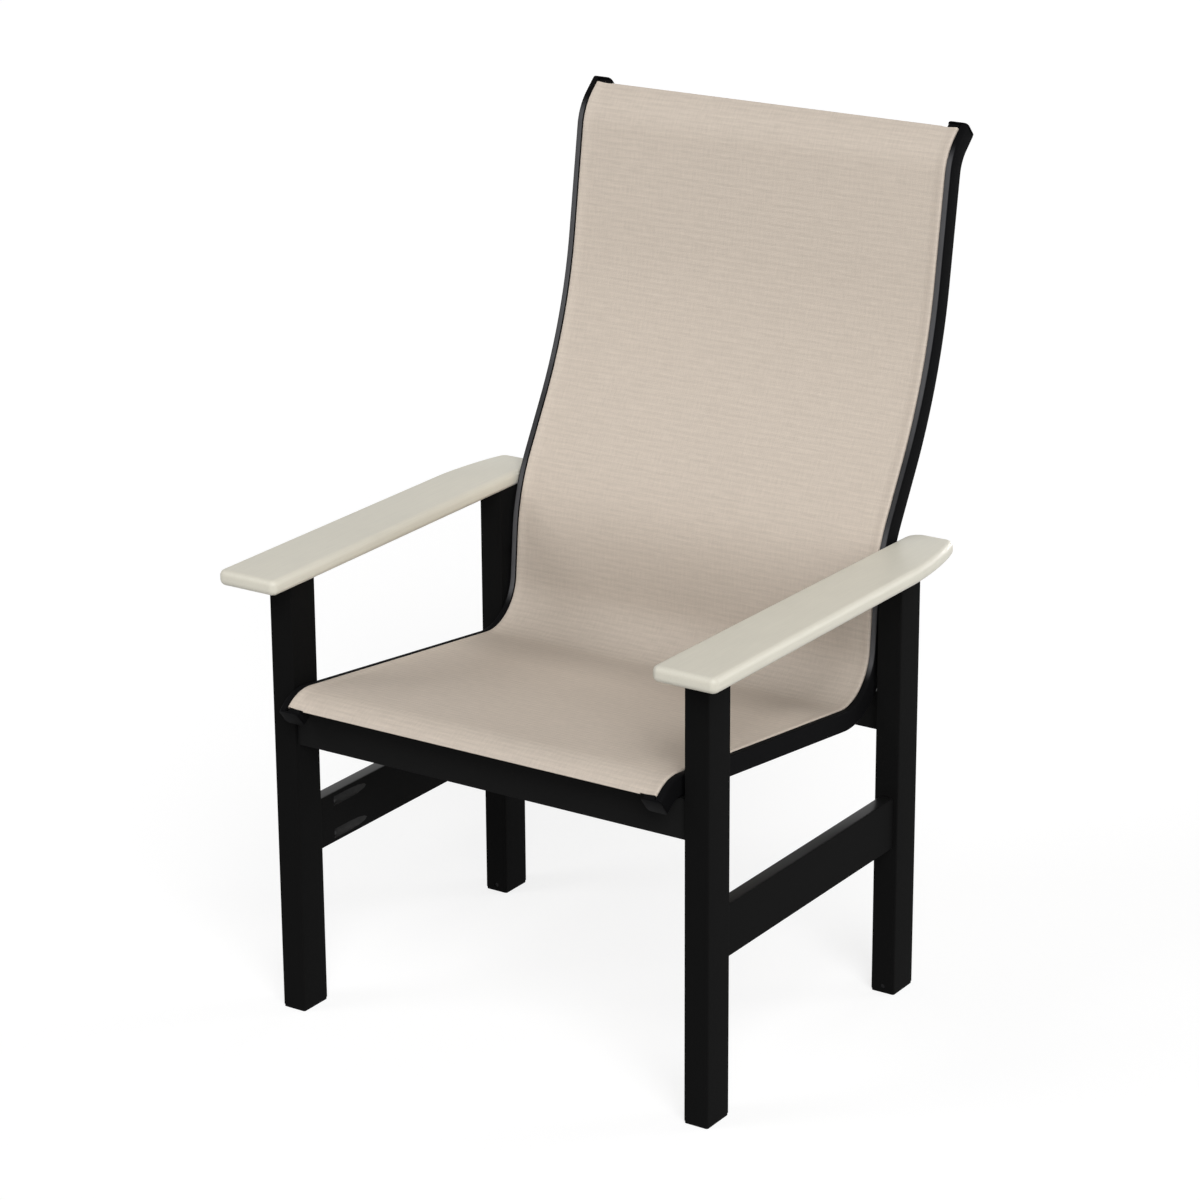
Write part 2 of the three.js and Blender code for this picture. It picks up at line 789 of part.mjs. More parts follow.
// Bolts and spacers that hang the sling rails between the legs

function boltGeometry() {
  return headedPin({
    radius: boltRadius,
    length: railWidth + railToLeg + boltGrip + clearance,
    point: boltPoint,
    headRadius: boltHeadRadius,
    headHeight: boltHeadHeight,
    socketRadius: boltSocketRadius,
    socketDepth: boltSocketDepth,
  });
}

function spacerGeometry() {
  const ring = new THREE.Shape(arcPoints(0, 0, spacerRadius, 0, 2 * Math.PI, roundSegments).slice(1));
  const bore = arcPoints(0, 0, boltRadius + clearance, 0, 2 * Math.PI, roundSegments).slice(1);
  ring.holes.push(new THREE.Path(bore));
  const length = railToLeg - 2 * clearance;
  return new THREE.ExtrudeGeometry(ring, { depth: length, bevelEnabled: false });
}

function railMount(side, isFront) {
  const place = `${isFront ? 'front' : 'rear'}_${side < 0 ? 'left' : 'right'}`;
  const point = isFront ? frontBoltPoint : rearBoltPoint;
  const group = new THREE.Group();
  group.position.set(side * railInnerX, point.y, point.z);
  group.rotation.y = side * Math.PI / 2;
  group.add(mesh(`rail_bolt_${place}`, boltGeometry(), steel, vec(0, 0, -clearance)));
  group.add(mesh(`rail_spacer_${place}`, spacerGeometry(), plasticBlack, vec(0, 0, railWidth + clearance)));
  return group;
}

// Sling: a sheet whose side edges turn down into the rails' grooves

function slingGeometry() {
  const edge = grooveX + fabricThickness / 2;
  const inner = edge - fabricThickness;
  const hemDepth = railFaceDepth + grooveLip + grooveRadius - weltRadius - clearance;
  const section = [
    [edge, 0], [edge, hemDepth], [inner, hemDepth], [inner, fabricThickness],
    [-inner, fabricThickness], [-inner, hemDepth], [-edge, hemDepth], [-edge, 0],
  ];
  const shape = new THREE.Shape(section.map(([x, depth]) => sectionPoint(x, depth)));
  return sweep(shape, slingPath(0, 0));
}

function weltGeometry(side) {
  const depth = railFaceDepth + grooveLip + grooveRadius;
  const center = sectionPoint(side * grooveX, depth);
  const ring = arcPoints(center.x, center.y, weltRadius, 0, 2 * Math.PI, roundSegments / 2).slice(1);
  return sweep(new THREE.Shape(ring), slingPath(0, 0));
}

// Spreader bars: flat oval tubes that bow away from the sitter, with a plug in each end

const spreaderHalf = railInnerX - 2 * clearance - spreaderFlange;

function spreaderGeometry() {
  const points = [vec(-spreaderHalf, 0, 0)];
  const tangents = [acrossX];
  const bowHalf = spreaderHalf - spreaderStraight;
  for (let i = 0; i <= spreaderSteps; i++) {
    const t = 2 * i / spreaderSteps - 1;
    const bow = (1 - t * t) ** 2;
    const slope = 4 * t * (1 - t * t) * spreaderBow / bowHalf;
    points.push(vec(t * bowHalf, 0, -bow * spreaderBow));
    tangents.push(vec(1, 0, slope).normalize());
  }
  points.push(vec(spreaderHalf, 0, 0));
  tangents.push(acrossX);
  const shape = new THREE.Shape(stadium(spreaderThickness, spreaderHeight, spreaderEndSegments));
  const walls = 2 * spreaderWall;
  const bore = stadium(spreaderThickness - walls, spreaderHeight - walls, spreaderEndSegments);
  shape.holes.push(new THREE.Path(bore));
  return sweep(shape, new PosePath(points, tangents));
}

function spreaderPlugGeometry() {
  const lip = 2 * spreaderFlangeLip;
  const fit = 2 * (spreaderWall + clearance);
  const flangeOutline = stadium(spreaderThickness + lip, spreaderHeight + lip, spreaderEndSegments);
  const flange = prism(flangeOutline, spreaderFlange);
  const plug = prism(
    stadium(spreaderThickness - fit, spreaderHeight - fit, spreaderEndSegments),
    spreaderPlugLength + overrun,
  ).translate(0, 0, -spreaderPlugLength);
  const peg = rod(spreaderPegRadius, spreaderPegLength + overrun);
  peg.translate(0, 0, spreaderFlange + (spreaderPegLength - overrun) / 2);
  return join([flange, plug, peg]);
}

// The group's own Y runs along the sling and its Z out of the sling's face
function spreaderAssembly(place, at) {
  const group = turnedGroup(poseTangent(at), poseNormal(at).negate(), pointAt(at, boltDepth));
  group.add(mesh(`spreader_${place}`, spreaderGeometry(), railBlack));
  for (const side of [-1, 1]) {
    const end = vec(side * (spreaderHalf + clearance), 0, 0);
    const name = `spreader_plug_${place}_${side < 0 ? 'left' : 'right'}`;
    const plug = mesh(name, spreaderPlugGeometry(), plasticBlack, end);
    plug.rotation.y = side * Math.PI / 2;
    group.add(plug);
  }
  return group;
}

// The whole chair

function buildChair() {
  const chair = new THREE.Group();
  const sides = [-1, 1];
  for (const side of sides) {
    const place = side < 0 ? 'left' : 'right';
    for (const isFront of [true, false]) {
      chair.add(legAssembly(side, isFront));
      chair.add(railMount(side, isFront));
    }
    chair.add(stretcherAssembly(side));
    chair.add(arm(side));
    chair.add(mesh(`sling_rail_${place}`, slingRailGeometry(side), railBlack));
    chair.add(mesh(`sling_welt_${place}`, weltGeometry(side), weltBlack));
    const frontEnd = advance(slingStart, -railFrontBare - clearance);
    chair.add(cap(`rail_cap_front_${place}`, side, frontEnd, -1));
    const topEnd = advance(slingEnd, railTopBare + clearance);
    chair.add(cap(`rail_cap_top_${place}`, side, topEnd, 1));
  }
  chair.add(crossRailAssembly(true));
  chair.add(crossRailAssembly(false));
  for (const [place, at] of Object.entries(spreaderPoses)) {
    chair.add(spreaderAssembly(place, at));
  }
  chair.add(mesh('sling_fabric', slingGeometry(), slingBeige));
  return chair;
}

// The origin lies on the ground under the middle of the chair's outer box
const chair = buildChair();
chair.updateMatrixWorld(true);
const box = new THREE.Box3().setFromObject(chair, true);
chair.position.y = -(box.min.y + box.max.y) / 2;

const group = new THREE.Group();
group.add(chair);

export default group;
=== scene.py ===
import math

import bmesh
import bpy
from bpy.props import FloatProperty, FloatVectorProperty, PointerProperty
from mathutils import Matrix, Vector


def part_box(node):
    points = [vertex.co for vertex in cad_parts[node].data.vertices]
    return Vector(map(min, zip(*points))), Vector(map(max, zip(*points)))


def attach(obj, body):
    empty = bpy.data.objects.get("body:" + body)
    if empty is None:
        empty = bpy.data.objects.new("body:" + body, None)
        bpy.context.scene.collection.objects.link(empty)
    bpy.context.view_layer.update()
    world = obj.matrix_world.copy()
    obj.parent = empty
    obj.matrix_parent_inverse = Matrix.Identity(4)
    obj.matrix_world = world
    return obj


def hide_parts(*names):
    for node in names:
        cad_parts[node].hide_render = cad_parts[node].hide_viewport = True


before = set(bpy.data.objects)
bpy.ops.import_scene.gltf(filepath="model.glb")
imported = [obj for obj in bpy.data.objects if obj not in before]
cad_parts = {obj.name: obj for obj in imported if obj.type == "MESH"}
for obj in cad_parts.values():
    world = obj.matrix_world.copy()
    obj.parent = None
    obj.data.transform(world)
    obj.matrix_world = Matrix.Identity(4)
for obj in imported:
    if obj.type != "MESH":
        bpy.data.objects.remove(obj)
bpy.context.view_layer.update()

bl_info = {
    "name": "Sling patio armchair",
    "version": (1, 0, 0),
    "blender": (4, 5, 0),
    "location": "3D View > Sidebar > Chair",
    "description": "Builds the finished looks of a high-backed sling patio armchair around its frame",
    "category": "Object",
}

SIDES = ("left", "right")

# The sling's side line, 4 mm shorter at the front than in the part's source: Y, Z and heading in degrees at
# its start, then straights by length, and arcs by radius and turn in degrees
SLING_START = (-0.36330, 0.44248, 38.3)
SLING_STRETCHES = (
    ("straight", 0.0054, 0),
    ("arc", 0.057, -44.8),
    ("straight", 0.392, 0),
    ("arc", 0.067, 91.6),
    ("straight", 0.060, 0),
    ("arc", 0.267, -24.7),
    ("straight", 0.071, 0),
    ("arc", 0.644, 21),
    ("straight", 0.143, 0),
    ("arc", 0.0735, -38.9),
    ("straight", 0.017, 0),
)

# The longest steps along the line: on straights, on arcs, and on arcs in degrees
STRAIGHT_STEP = 0.02
ARC_STEP = 0.010
ARC_STEP_TURN = 3

# The spin operator turns the other way round the X axis than Matrix.Rotation
SPIN_SIGN = -1

# The sling rails' section, across from the outer face and back from the sling's face. The ridge is the strip
# outside the groove, and stands forward of the rest. The bare ends run on past the cloth
RAIL_OUTER_X = 0.288
RAIL_WIDTH = 0.028
RAIL_DEPTH = 0.025
RAIL_FACE = 0.0015
RAIL_RIDGE = 0.0023
RAIL_RIDGE_CORNER = 0.003
RAIL_BACK_CORNER = 0.0025
RAIL_FRONT_BARE = 0.0042
RAIL_TOP_BARE = 0.0052
GROOVE_INSET = 0.010
GROOVE_MOUTH = 0.003
GROOVE_MOUTH_CORNER = 0.0004
GROOVE_LIP = 0.0025
GROOVE_ROUND = 0.008
GROOVE_ROUND_CORNER = GROOVE_ROUND * 0.29

# The end caps' plates. The front lip is measured from the rail's face, the others from its back and sides
CAP_GAP = 0.0001
CAP_THICKNESS = 0.0026
CAP_LIP_FRONT = 0.0027
CAP_LIP_BACK = 0.0005
CAP_LIP_SIDE = 0.001
CAP_CORNER = 0.006
CAP_EDGE = 0.0009

# The right half of the cloth, outwards from its middle: X of each line on its flat part, then X and depth
# where it rises to the rail. Depths are behind a cloth whose face lies on the side line
CLOTH_FLAT = (0, 0.042, 0.085, 0.127, 0.17, 0.212, 0.254, 0.262)
CLOTH_FLAT_DEPTH = 0.0002
CLOTH_RISE = ((0.265, 0.0001), (0.268, -0.0004), (0.272, -0.0011))
CLOTH_EDGE_DEPTH = 0.0053
HEM_HALF_WIDTH = 0.2545
HEM_GAP = 0.00012

# The weave's unevenness: how long its slubs, its threads' streaks and the sways of its ribs are, and how far
# the ribs sway
SLUB_LENGTH = 0.03
STREAK_LENGTH = 0.016
SWAY_LENGTH = 0.04
SWAY_REACH = 0.005

# The painted shade in the fold behind the seat: how deep it is, and what share of it comes and goes in a
# metre of cloth
PAINTED_FOLD_SHADE = 0.2
PAINTED_SHADE_COMES = 12
PAINTED_SHADE_GOES = 9

# The corners of the right arm's outline, and how far along its sides each one's rounding reaches
ARM_OUTLINE = (
    (0.2800, -0.37944, 0.0101),
    (0.3715, -0.37944, 0.0100),
    (0.3750, 0.15558, 0.0615),
    (0.3540, 0.22958, 0.0091),
    (0.2915, 0.22958, 0.0217),
)
ARM_BEND = 2

# Softened edges of the fittings
BAR_EDGE = 0.0003
PLUG_EDGE = 0.0004
GLIDE_EDGE = 0.0006

# How much lighter the cross rails' colour is painted than the legs', as painted light, because the lamps give
# their front face less light
CROSS_RAIL_PAINTED_LIGHT = 1.7

# The floor's grey for light on its way, and its grey and glow where it is seen
FLOOR_GREY = 0.55
FLOOR_SEEN_GREY = 0.3
FLOOR_GLOW = 0.78

# Each lamp's azimuth from the front towards the right, elevation and spread, in degrees
LAMPS = {
    "left": (-45, 40, 24),
    "upper": (45, 40, 35),
    "lower": (45, 15, 35),
    "rear": (135, 15, 24),
    "back": (180, 3, 24),
}
LAMP_DISTANCE = 4

# The camera's place, its turn, its dip below level and its roll in radians, and its lens and sensor in mm
CAMERA_PLACE = (2.61984, -3.99215, 2.19336)
CAMERA_TURN = 0.588187
CAMERA_DIP = 0.334564
CAMERA_ROLL = -0.006218
CAMERA_LENS = 116.92
CAMERA_SENSOR = 36
CAMERA_REACH = 60


def srgb(red, green, blue):
    """A display colour, each part from 0 to 255, as the linear one that Blender's sockets hold."""
    parts = [part / 255 for part in (red, green, blue)]
    return tuple(part / 12.92 if part <= 0.04045 else ((part + 0.055) / 1.055) ** 2.4 for part in parts)


# Settings


class SlingSettings(bpy.types.PropertyGroup):
    """The woven sling"""

    thickness: FloatProperty(
        name="Thickness", description="Thickness of the cloth", default=0.0012, unit="LENGTH"
    )
    edge_bend: FloatProperty(
        name="Edge bend",
        description="Radius on which the cloth turns into the grooves",
        default=0.0024,
        unit="LENGTH",
    )
    lift: FloatProperty(
        name="Edge lift",
        description="How far the cloth rises towards the rails",
        default=0.0017,
        unit="LENGTH",
    )
    hem: FloatProperty(
        name="Hem", description="Width of the folded hem at each end", default=0.014, unit="LENGTH"
    )
    rib: FloatProperty(
        name="Rib", description="Pitch of the ribs across the chair", default=0.0086, unit="LENGTH"
    )
    weft: FloatProperty(
        name="Weft", description="Pitch of the threads across the chair", default=0.00215, unit="LENGTH"
    )
    warp: FloatProperty(
        name="Warp", description="Pitch of the threads along the sling", default=0.0017, unit="LENGTH"
    )
    # Where the painted shade in the fold behind the seat starts and ends, as lengths along the cloth
    painted_shade_start: FloatProperty(
        name="Fold start",
        description="Where the shaded fold behind the seat starts",
        default=0.34,
        unit="LENGTH",
    )
    fold_end: FloatProperty(
        name="Fold end",
        description="Where the shaded fold below the back ends",
        default=0.68,
        unit="LENGTH",
    )
    colour: FloatVectorProperty(
        name="Colour",
        description="Colour of the cloth",
        subtype="COLOR",
        default=srgb(204, 192, 179),
        min=0,
        max=1,
    )


class FrameSettings(bpy.types.PropertyGroup):
    """The lumber frame and the aluminium rails"""

    arm_round: FloatProperty(
        name="Arm edge", description="Rounding of the arms' edges", default=0.008, unit="LENGTH"
    )
    board_edge: FloatProperty(
        name="Board edge", description="Softening of the boards' cut edges", default=0.0014, unit="LENGTH"
    )
    lumber: FloatVectorProperty(
        name="Lumber",
        description="Colour of legs and rails",
        subtype="COLOR",
        default=srgb(19, 19, 19),
        min=0,
        max=1,
    )
    arm_lumber: FloatVectorProperty(
        name="Arm lumber",
        description="Colour of the arms",
        subtype="COLOR",
        default=srgb(215, 211, 197),
        min=0,
        max=1,
    )
    coat: FloatVectorProperty(
        name="Rail coat",
        description="Colour of the powder coat",
        subtype="COLOR",
        default=srgb(18, 18, 19),
        min=0,
        max=1,
    )


class StageSettings(bpy.types.PropertyGroup):
    """Floor, lights and camera"""

    floor: FloatProperty(name="Floor", description="Side of the floor", default=24, unit="LENGTH")
    left: FloatProperty(
        name="Left light", description="Level of the light from the left", default=0.18, min=0
    )
    upper: FloatProperty(
        name="Upper light", description="Level of the high light from the right", default=0.56, min=0
    )
    lower: FloatProperty(
        name="Lower light", description="Level of the low light from the right", default=0.28, min=0
    )
    rear: FloatProperty(
        name="Rear light", description="Level of the low light from behind", default=0.25, min=0
    )
    back: FloatProperty(
        name="Back light", description="Level of the light straight from behind", default=0.35, min=0
    )
    sky: FloatProperty(name="Sky", description="Level of the light from all round", default=0.15, min=0)


# Node materials


class Field:
    """A value that varies over a surface. Arithmetic on it adds the Math nodes that work it out."""

    def __init__(self, nodes, socket):
        self.nodes = nodes
        self.socket = socket

    def worked(self, operation, *values):
        return self.nodes.add("ShaderNodeMath", {"operation": operation}, dict(enumerate(values)))

    def __add__(self, other):
        return self.worked("ADD", self, other)

    __radd__ = __add__

    def __sub__(self, other):
        return self.worked("SUBTRACT", self, other)

    def __rsub__(self, other):
        return self.worked("SUBTRACT", other, self)

    def __mul__(self, other):
        return self.worked("MULTIPLY", self, other)

    __rmul__ = __mul__

    def held(self, low=0, high=1):
        """Kept between two values."""
        lowest = self.worked("MAXIMUM", self, low)
        return lowest.worked("MINIMUM", lowest, high)

    def wave(self, pitch):
        """Swings between -1 and 1, with this pitch."""
        turns = self * (2 * math.pi / pitch)
        return turns.worked("SINE", turns)


class Nodes:
    """A node tree, with one method that adds any node to it."""

    def __init__(self, tree):
        self.tree = tree

    def feed(self, node, inputs):
        for socket, value in inputs.items():
            if isinstance(value, Field):
                self.tree.links.new(value.socket, node.inputs[socket])
            else:
                node.inputs[socket].default_value = value

    def add(self, kind, settings=None, inputs=None, output=0):
        """Adds a node: its settings first, then the values or links of its sockets.

        Gives one output, or a list of them for a tuple of names.
        """
        node = self.tree.nodes.new(kind)
        for name, value in (settings or {}).items():
            setattr(node, name, value)
        self.feed(node, inputs or {})
        if isinstance(output, tuple):
            return [Field(self, node.outputs[name]) for name in output]
        return Field(self, node.outputs[output])

    def seen(self):
        """1 for what the camera sees, also in gloss and through glass, and 0 for light on its way."""
        rays = ("Is Camera Ray", "Is Glossy Ray", "Is Transmission Ray")
        camera, gloss, glass = self.add("ShaderNodeLightPath", output=rays)
        return camera.worked("MAXIMUM", camera, gloss.worked("MAXIMUM", gloss, glass))


class Finish(Nodes):
    """A node material for one of the chair's finishes."""

    def __init__(self, name):
        self.material = bpy.data.materials.new(name)
        self.material.use_nodes = True
        super().__init__(self.material.node_tree)
        self.shader = self.tree.nodes["Principled BSDF"]

    def split(self, vector):
        """The three parts of a vector."""
        return self.add("ShaderNodeSeparateXYZ", None, {"Vector": vector}, ("X", "Y", "Z"))

    def place(self, scale):
        """Places on the chair, in metres, stretched by a scale for each axis."""
        return self.stretched(self.add("ShaderNodeTexCoord", output="Object"), scale)

    def stretched(self, place, scale):
        return self.add("ShaderNodeMapping", {"vector_type": "POINT"}, {"Vector": place, "Scale": scale})

    def facing(self):
        """The three parts of the way that a face looks, along the chair's axes."""
        return self.split(self.add("ShaderNodeTexCoord", output="Normal"))

    def noise(self, place, detail=3, roughness=0.55):
        inputs = {"Vector": place, "Scale": 1, "Detail": detail, "Roughness": roughness}
        return self.add("ShaderNodeTexNoise", None, inputs, "Fac")

    def mottle(self, scale, detail=2, roughness=0.55):
        """Noise that is alike along all three axes, with so many spots to the metre."""
        return self.noise(self.place((scale, scale, scale)), detail, roughness)

    def blend(self, share, low, high):
        """A colour between two, by a share that varies. Either may be a Field of its own."""
        inputs = {0: share}
        for socket, colour in ((6, low), (7, high)):
            inputs[socket] = colour if isinstance(colour, Field) else (*colour, 1)
        return self.add("ShaderNodeMix", {"data_type": "RGBA", "clamp_factor": True}, inputs, 2)

    def bump(self, height, distance, strength=0.5):
        inputs = {"Height": height, "Distance": distance, "Strength": strength}
        return self.add("ShaderNodeBump", None, inputs, "Normal")

    def gloss(self, level):
        """How strongly the surface mirrors, as one number for all of it."""
        self.shader.inputs["Specular IOR Level"].default_value = level

    def surface(self, **inputs):
        self.feed(self.shader, {name.replace("_", " "): value for name, value in inputs.items()})
        return self.material


def tinted(colour, amount):
    return tuple(min(1, part * amount) for part in colour)


def grain_scale(along, across_pitch, along_pitch):
    """A noise scale with its streaks along one axis of the chair."""
    return tuple(1 / along_pitch if axis == along else 1 / across_pitch for axis in "XYZ")


def lumber_finish(name, colour, along, gloss, rough, sky_sheen=False):
    """Recycled plastic lumber: brushed streaks along the board over a faint mottle.

    With sky_sheen, a thin coat shines where the board faces up.
    """
    finish = Finish(name)
    coarse = grain_scale(along, across_pitch=0.0011, along_pitch=0.045)
    fine = grain_scale(along, across_pitch=0.0004, along_pitch=0.012)
    streaks = finish.noise(finish.place(coarse), detail=4, roughness=0.6)
    brushing = finish.noise(finish.place(fine), detail=2)
    mottle = finish.mottle(22)
    tone = streaks * 0.6 + brushing * 0.2 + mottle * 0.2
    height = streaks * 0.7 + brushing * 0.3
    finish.gloss(gloss)
    if sky_sheen:
        finish.shader.inputs["Coat IOR"].default_value = 1.22
        finish.shader.inputs["Coat Roughness"].default_value = 0.3
        _, _, up = finish.facing()
        finish.surface(Coat_Weight=(up * 1.5 - 0.5).held())
    return finish.surface(
        Base_Color=finish.blend(tone, tinted(colour, 0.86), tinted(colour, 1.14)),
        Roughness=rough + streaks * 0.12 + mottle * 0.06,
        Normal=finish.bump(height, 0.00012),
    )


def milled_finish(name, colour):
    """Lumber where a cutter has been: matt and paler than the brushed faces, with fine tool marks."""
    finish = Finish(name)
    marks = finish.noise(finish.place((500, 500, 1500)), detail=2)
    chalk = finish.mottle(120)
    finish.gloss(0.02)
    return finish.surface(
        Base_Color=finish.blend(chalk, tinted(colour, 0.8), tinted(colour, 1.2)),
        Roughness=0.6 + marks * 0.2,
        Normal=finish.bump(marks, 0.00004),
    )


def coat_finish(name, colour):
    """Powder coat: a satin skin with a fine orange peel, with a painted sheen where it faces the sitter."""
    finish = Finish(name)
    peel = finish.mottle(900)
    drift = finish.mottle(35)
    finish.gloss(0.005)
    _, back, up = finish.facing()
    # Painted sheen, a lighter grey: all of it within 20 degrees of the front and none past 42, and none where
    # a face looks up by 45 or more
    painted_sheen_front = ((0 - back) * 5 - 3.7).held() * (2.4 - up * 3.4).held()
    return finish.surface(
        Base_Color=finish.blend(painted_sheen_front * (0.8 + drift * 0.4), colour, srgb(84, 84, 86)),
        Roughness=0.4 + drift * 0.12,
        Normal=finish.bump(peel, 0.00006),
    )


def moulded_finish(name, colour, rough=0.4):
    """Moulded plastic: a fine even texture, slightly worn smoother in places."""
    finish = Finish(name)
    grain = finish.mottle(1600, detail=3, roughness=0.7)
    worn = finish.mottle(60)
    finish.gloss(0.01)
    return finish.surface(
        Base_Color=finish.blend(worn, tinted(colour, 0.88), tinted(colour, 1.12)),
        Roughness=rough + worn * 0.15,
        Normal=finish.bump(grain, 0.00004, 0.6),
    )


def steel_finish(name):
    """Stainless steel as it comes from the thread roller, faintly streaked."""
    finish = Finish(name)
    streaks = finish.noise(finish.place((2500, 2500, 400)))
    spots = finish.mottle(300)
    return finish.surface(
        Base_Color=finish.blend(spots, srgb(150, 152, 154), srgb(178, 179, 180)),
        Metallic=1.0,
        Roughness=0.24 + streaks * 0.16,
        Normal=finish.bump(streaks, 0.00002),
    )


def woven_finish(name, settings):
    """Coated cloth: plain weave with a rib every few wefts, with painted shade in the fold behind the seat.
    """
    finish = Finish(name)
    flat = finish.add("ShaderNodeUVMap", {"uv_map": "cloth"})
    across, along, _ = finish.split(flat)
    weft = along.wave(settings.weft)
    warp = across.wave(settings.warp)
    sway = finish.noise(finish.stretched(flat, (1 / SWAY_LENGTH, 1 / settings.rib, 1)), detail=1)
    rib = (along + sway * SWAY_REACH).wave(settings.rib) * (sway * 2 - 0.2)
    stripe = across.wave(4 * settings.warp)
    crossing = across.wave(2 * settings.warp) * along.wave(2 * settings.weft)
    slub = finish.noise(finish.stretched(flat, (1 / SLUB_LENGTH, 1 / settings.weft, 1)), detail=2)
    thread = finish.noise(finish.stretched(flat, (1 / settings.warp, 1 / STREAK_LENGTH, 1)), detail=2)
    drift = finish.mottle(6, detail=1)
    tone = 0.5 + rib * 0.2 + stripe * 0.05 + weft * 0.08 + crossing * 0.08
    tone += (slub - 0.5) * 1.3 + (thread - 0.5) * 1.1 + (drift - 0.5) * 0.2
    height = weft * 0.3 + warp * 0.2 + crossing * 0.5 + rib * 0.35
    # Painted shade: the cloth's colour is darkened towards black in the fold behind the seat, where shade
    # falls
    fold = ((along - settings.painted_shade_start) * PAINTED_SHADE_COMES).held()
    fold *= ((settings.fold_end - along) * PAINTED_SHADE_GOES).held()
    cloth = finish.blend(tone, tinted(settings.colour, 0.91), tinted(settings.colour, 1.09))
    finish.gloss(0.2)
    return finish.surface(
        Base_Color=finish.blend(fold * PAINTED_FOLD_SHADE, cloth, (0, 0, 0)),
        Roughness=0.56 + crossing * 0.05 + slub * 0.1,
        Normal=finish.bump(height, 0.00012, 0.6),
    )


def black_steel_finish(name):
    """Blackened steel screws and pins."""
    finish = Finish(name)
    spots = finish.mottle(500)
    finish.gloss(0.2)
    return finish.surface(
        Base_Color=finish.blend(spots, srgb(22, 22, 23), srgb(34, 34, 35)),
        Roughness=0.4 + spots * 0.2,
        Normal=finish.bump(spots, 0.00002),
    )


def welt_finish(name):
    """Extruded welting rod, dull and faintly ringed by its die."""
    finish = Finish(name)
    rings = finish.noise(finish.place((700, 700, 90)), detail=2)
    return finish.surface(
        Base_Color=finish.blend(rings, srgb(24, 24, 24), srgb(34, 34, 34)),
        Roughness=0.55 + rings * 0.15,
        Normal=finish.bump(rings, 0.00003),
    )


# Modelling helpers


def only(*pieces):
    """Selects these objects alone, in object mode, with the first one active."""
    if bpy.context.object and bpy.context.object.mode != "OBJECT":
        bpy.ops.object.mode_set(mode="OBJECT")
    bpy.ops.object.select_all(action="DESELECT")
    for piece in pieces:
        piece.select_set(True)
    bpy.context.view_layer.objects.active = pieces[0] if pieces else None


def choose(piece, kind, test):
    """In edit mode, selects the vertices, edges or faces that pass a test, and no others."""
    bpy.ops.mesh.select_all(action="DESELECT")
    modes = {"verts": (True, False, False), "edges": (False, True, False), "faces": (False, False, True)}
    bpy.context.tool_settings.mesh_select_mode = modes[kind]
    mesh = bmesh.from_edit_mesh(piece.data)
    found = [element for element in getattr(mesh, kind) if test(element)]
    for element in found:
        element.select_set(True)
    mesh.select_flush_mode()
    bmesh.update_edit_mesh(piece.data)
    if not found:
        raise RuntimeError(f"{piece.name}: nothing to select")


def middle(element):
    """The middle of an edge or face."""
    return sum((vertex.co for vertex in element.verts), Vector()) / len(element.verts)


def named(piece, name):
    piece.name = name
    piece.data.name = name
    return piece


def started(add, name, location, size, tilt=0):
    """A primitive at its size and place, tilted about the X axis, with its place in its mesh."""
    only()
    add(size=1, location=location, rotation=(tilt, 0, 0))
    piece = named(bpy.context.object, name)
    piece.scale = size
    bpy.ops.object.transform_apply(location=True, rotation=True, scale=True)
    return piece


def outward(piece):
    """Merges doubles and turns every face outwards."""
    only(piece)
    bpy.ops.object.mode_set(mode="EDIT")
    bpy.ops.mesh.select_all(action="SELECT")
    bpy.ops.mesh.remove_doubles(threshold=0.000005)
    bpy.ops.mesh.normals_make_consistent(inside=False)
    bpy.ops.object.mode_set(mode="OBJECT")


def smooth(piece, degrees):
    only(piece)
    bpy.ops.object.shade_smooth_by_angle(angle=math.radians(degrees))


def mirrored(piece, name):
    """A copy with its own mesh on the other side of the chair."""
    only(piece)
    bpy.ops.object.duplicate(linked=False)
    copy = named(bpy.context.object, name)
    bpy.ops.object.mode_set(mode="EDIT")
    bpy.ops.mesh.select_all(action="SELECT")
    bpy.ops.transform.mirror(
        constraint_axis=(True, False, False), orient_type="GLOBAL", center_override=(0, 0, 0)
    )
    bpy.ops.object.mode_set(mode="OBJECT")
    outward(copy)
    return copy


def finished(piece, material, node):
    """Gives a piece its material and its place in the frame, in place of a CAD node."""
    piece.data.materials.clear()
    piece.data.materials.append(material)
    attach(piece, "root")
    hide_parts(node)


def softened_copy(node, name, width, segments=2):
    """A merged copy of a CAD node with its sharp edges softened."""
    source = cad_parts[node]
    piece = bpy.data.objects.new(name, source.data.copy())
    bpy.context.scene.collection.objects.link(piece)
    named(piece, name)
    only(piece)
    if piece.data.has_custom_normals:
        bpy.ops.mesh.customdata_custom_splitnormals_clear()
    bpy.ops.object.mode_set(mode="EDIT")
    bpy.ops.mesh.select_all(action="SELECT")
    bpy.ops.mesh.remove_doubles(threshold=0.00001)
    bpy.ops.mesh.dissolve_limited(angle_limit=math.radians(0.5))
    bpy.ops.object.mode_set(mode="OBJECT")
    bpy.ops.object.modifier_add(type="BEVEL")
    bevel = piece.modifiers[-1]
    bevel.width = width
    bevel.segments = segments
    bevel.limit_method = "ANGLE"
    bevel.angle_limit = math.radians(50)
    bevel.use_clamp_overlap = True
    bevel.harden_normals = False
    bpy.ops.object.modifier_apply(modifier=bevel.name)
    smooth(piece, 35)
    bpy.ops.object.modifier_add(type="WEIGHTED_NORMAL")
    weighted = piece.modifiers[-1]
    weighted.keep_sharp = True
    bpy.ops.object.modifier_apply(modifier=weighted.name)
    return piece


# The sling's side line


